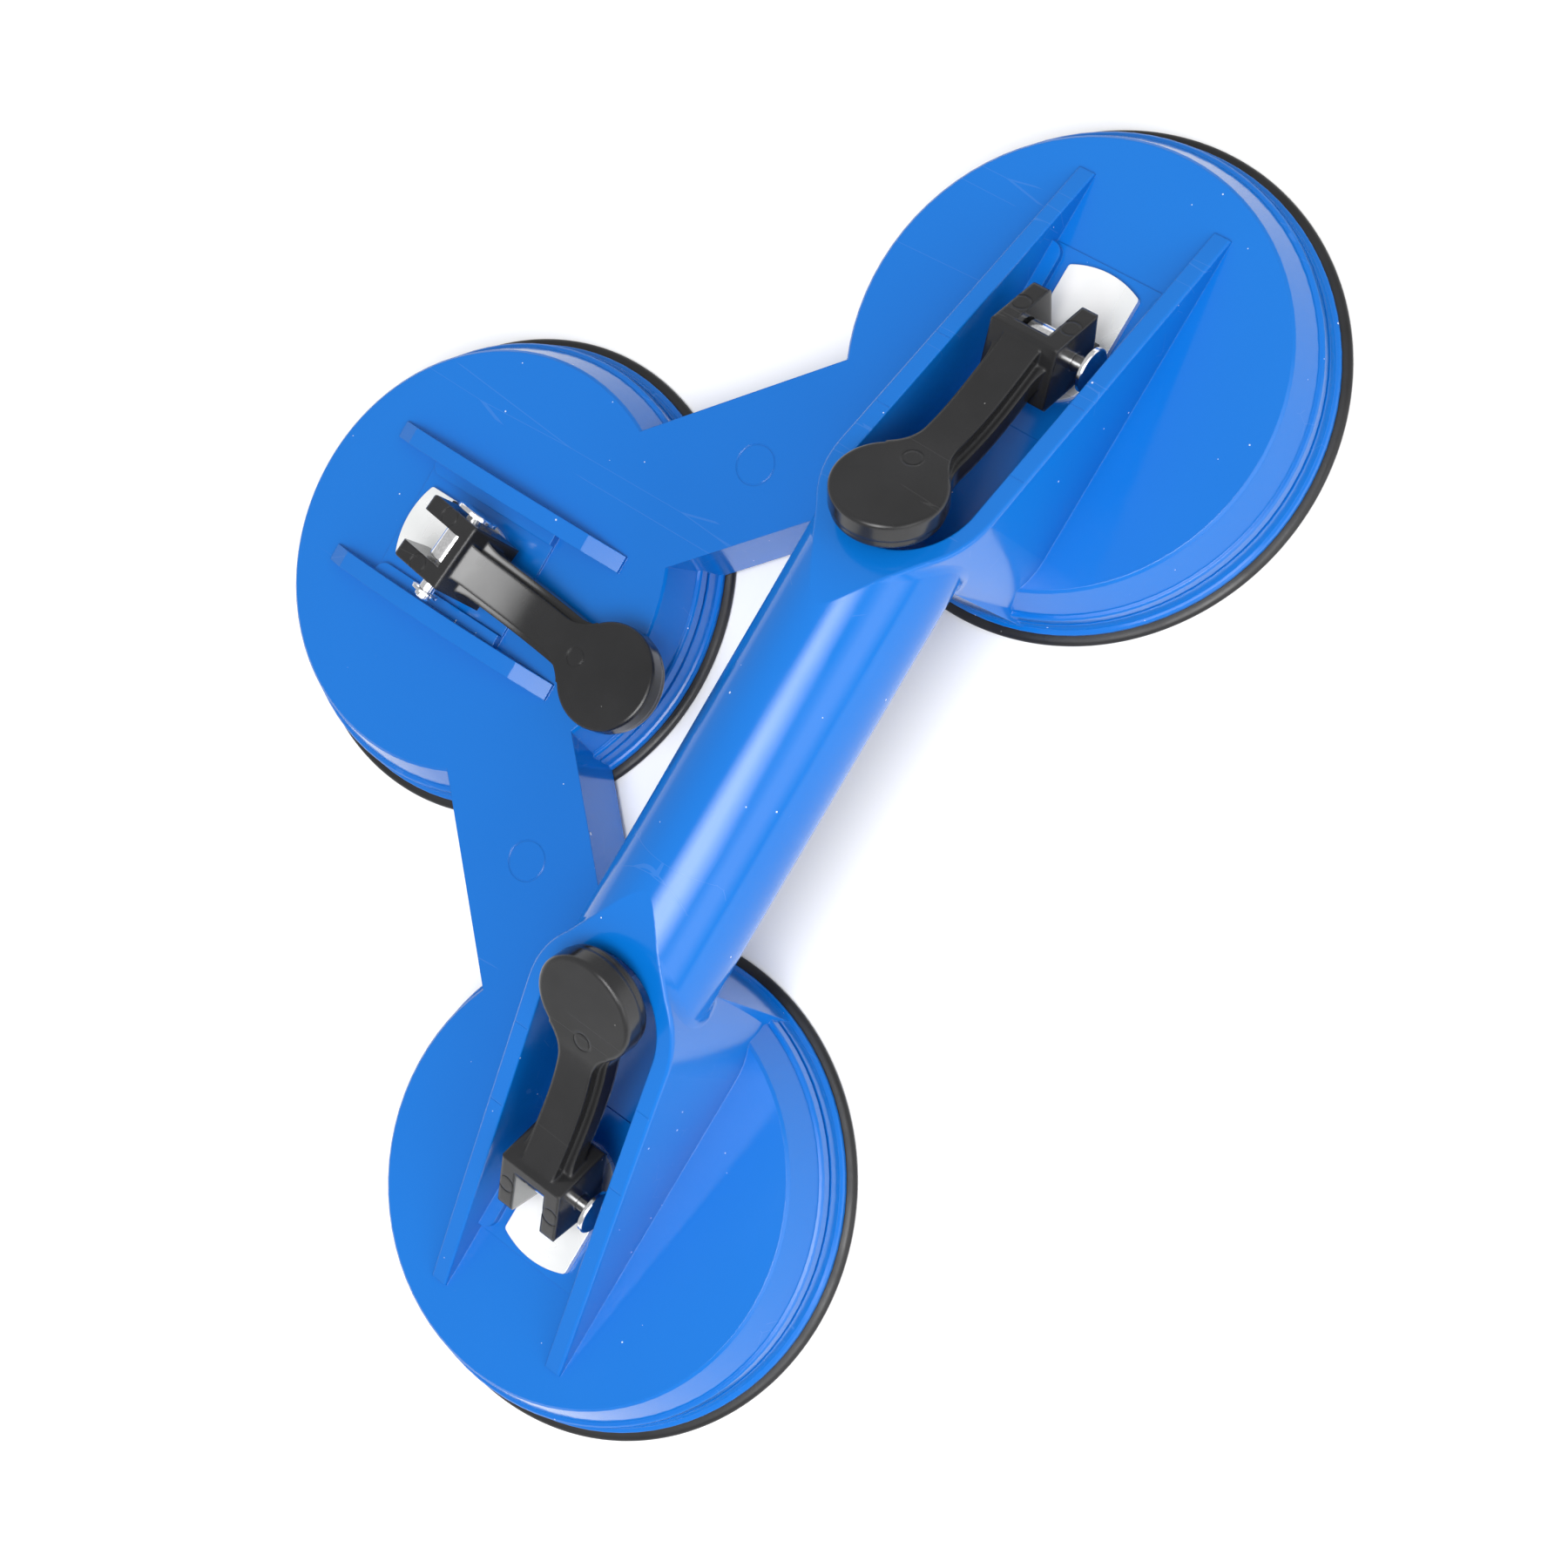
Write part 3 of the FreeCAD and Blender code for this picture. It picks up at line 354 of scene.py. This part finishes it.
def pad_outline(radius, lift):
    """Closed (r, z) outline of one pad in mm, from the underside centre round the lip.

    The points are the control points of a subdivided surface. The middle stands higher by the crown and by
    the height that the stud has drawn it up at rest.
    """
    outline = []
    for r in UNDER_RADII:
        dome = 1.0 - smooth_step(CROWN_FLAT_R, CROWN_UNDER_R, r)
        outline.append((r, SHEET_UNDER_Z + (CROWN + lift) * dome))
    sheet_z = outline[-1][1]
    outline += [(r, sheet_z * share) for r, share in SLOPE]
    outline += SLOPE_FOOT
    for centre, half_width, floor_half_width in GROOVES:
        outline += [
            (centre - half_width, 0.0), (centre - floor_half_width, GROOVE_DEPTH),
            (centre + floor_half_width, GROOVE_DEPTH), (centre + half_width, 0.0),
        ]
    outline += [(radius - inward, z) for inward, z in LIP]
    for r in TOP_RADII:
        dome = 1.0 - smooth_step(CROWN_FLAT_R, CROWN_TOP_R, r)
        rise = smooth_step(RISE_FOOT_R, RISE_STEEP_R, r) * (1.0 - smooth_step(RISE_END_R, RISE_FOOT_R, r))
        outline.append((r, LIP_TOP_Z + SHEET_RISE * rise + (CROWN + lift) * dome))
    return outline


def turned_mesh(name, outline, segments, centre):
    """Closed surface of revolution about a vertical line: outline in mm, centre in metres."""
    mesh = bpy.data.meshes.new(name)
    bm = bmesh.new()
    rings = []
    for r, z in outline:
        if r == 0.0:
            rings.append([bm.verts.new((centre[0], centre[1], z * MM))])
            continue
        ring = []
        for i in range(segments):
            a = 2.0 * math.pi * i / segments
            x = centre[0] + r * MM * math.cos(a)
            y = centre[1] + r * MM * math.sin(a)
            ring.append(bm.verts.new((x, y, z * MM)))
        rings.append(ring)
    for lower, upper in zip(rings, rings[1:]):
        for i in range(segments):
            j = (i + 1) % segments
            if len(lower) == 1:
                bm.faces.new((lower[0], upper[i], upper[j]))
            elif len(upper) == 1:
                bm.faces.new((lower[i], upper[0], lower[j]))
            else:
                bm.faces.new((lower[i], upper[i], upper[j], lower[j]))
    bmesh.ops.recalc_face_normals(bm, faces=bm.faces)
    bm.to_mesh(mesh)
    bm.free()
    for polygon in mesh.polygons:
        polygon.use_smooth = True
    obj = bpy.data.objects.new(name, mesh)
    bpy.context.scene.collection.objects.link(obj)
    return obj


def rubber_cup(cup):
    """The flexible pad of one cup: its lip stays with the shell while the stud draws its middle up."""
    node = cup + "_rubber_pad"
    low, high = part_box(node)
    centre = ((low.x + high.x) / 2.0, (low.y + high.y) / 2.0)
    radius = (high.x - low.x) / 2.0 / MM
    plate_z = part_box(cup + "_backing_plate")[0].z / MM
    lift = max(0.0, plate_z - PLATE_CLEARANCE - (LIP_TOP_Z + SHEET_RISE + CROWN))
    pad = turned_mesh(cup + "_suction_rubber", pad_outline(radius, lift), PAD_SEGMENTS, centre)
    pad.data.materials.append(black_rubber)
    subdivision = pad.modifiers.new("smooth", "SUBSURF")
    subdivision.levels = 1
    subdivision.render_levels = 1
    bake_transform(pad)
    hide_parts(node)


for cup in CUPS:
    rubber_cup(cup)


# ---------------------------------------------------------------- camera, light and floor

def camera():
    """Camera high above the grip side, rolled so that the grip runs diagonally."""
    data = bpy.data.cameras.new("camera")
    data.sensor_width = SENSOR_MM
    data.lens = LENS_MM
    data.clip_start = CLIP_START
    cam = bpy.data.objects.new("camera", data)
    bpy.context.scene.collection.objects.link(cam)
    azimuth = math.radians(CAMERA_AZIMUTH)
    elevation = math.radians(CAMERA_ELEVATION)
    roll = math.radians(CAMERA_ROLL)
    forward = Vector((math.sin(azimuth) * math.cos(elevation),
                      math.cos(azimuth) * math.cos(elevation), math.sin(elevation)))
    level_right = forward.cross(Vector((0, 0, 1))).normalized()
    level_up = level_right.cross(forward)
    right = level_right * math.cos(roll) + level_up * math.sin(roll)
    up = right.cross(forward)
    pose = Matrix((right, up, -forward)).transposed().to_4x4()
    pose.translation = Vector(CAMERA_AT)
    cam.matrix_world = pose
    bpy.context.scene.camera = cam


def soft_box(name, toward, distance, size, brightness):
    """Soft box in one direction, facing the object: nested panels so that its edge fades."""
    direction = Vector(toward).normalized()
    for index, share in enumerate(FADE_SHARES):
        data = bpy.data.lights.new("%s_%d" % (name, index), "AREA")
        data.shape = "RECTANGLE"
        data.size = size[0] * share
        data.size_y = size[1] * share
        data.energy = brightness / len(FADE_SHARES) * math.pi * data.size * data.size_y
        obj = bpy.data.objects.new("%s_%d" % (name, index), data)
        obj.location = direction * (distance + PANEL_GAP * index)
        obj.rotation_euler = (-direction).to_track_quat("-Z", "Y").to_euler()
        bpy.context.scene.collection.objects.link(obj)


def sky():
    """Even white light from all round."""
    world = bpy.data.worlds.new("studio")
    bpy.context.scene.world = world
    world.use_nodes = True
    background = world.node_tree.nodes["Background"]
    background.inputs["Color"].default_value = (1.0, 1.0, 1.0, 1.0)
    background.inputs["Strength"].default_value = SKY_BRIGHTNESS


def paper_floor():
    """Plain white floor that can be seen through from below."""
    bpy.ops.mesh.primitive_plane_add(size=FLOOR_SIZE)
    floor = bpy.context.object
    floor.name = "floor"
    g = Graph("floor_white")
    paper = g.noise(scale=6.0)
    g.set("Base Color", g.mix(g.remap(paper, (0.3, 0.7)), PAPER_GREY, PAPER_WHITE))
    g.set("Roughness", FLOOR_ROUGHNESS)
    see_through = g.node("ShaderNodeMixShader")
    g.put(see_through.inputs[0], g.node("ShaderNodeNewGeometry").outputs["Backfacing"])
    g.put(see_through.inputs[1], g.bsdf.outputs[0])
    g.put(see_through.inputs[2], g.node("ShaderNodeBsdfTransparent").outputs[0])
    g.put(g.out.inputs["Surface"], see_through.outputs[0])
    floor.data.materials.append(g.mat)


camera()
bpy.context.scene.view_settings.view_transform = "Standard"
sky()
soft_box("key", toward=(-0.20, -0.27, 0.94), distance=1.3, size=(0.66, 0.80), brightness=10.4)
soft_box("front", toward=(0.05, -0.89, 0.45), distance=1.5, size=(1.8, 0.90), brightness=1.9)
paper_floor()
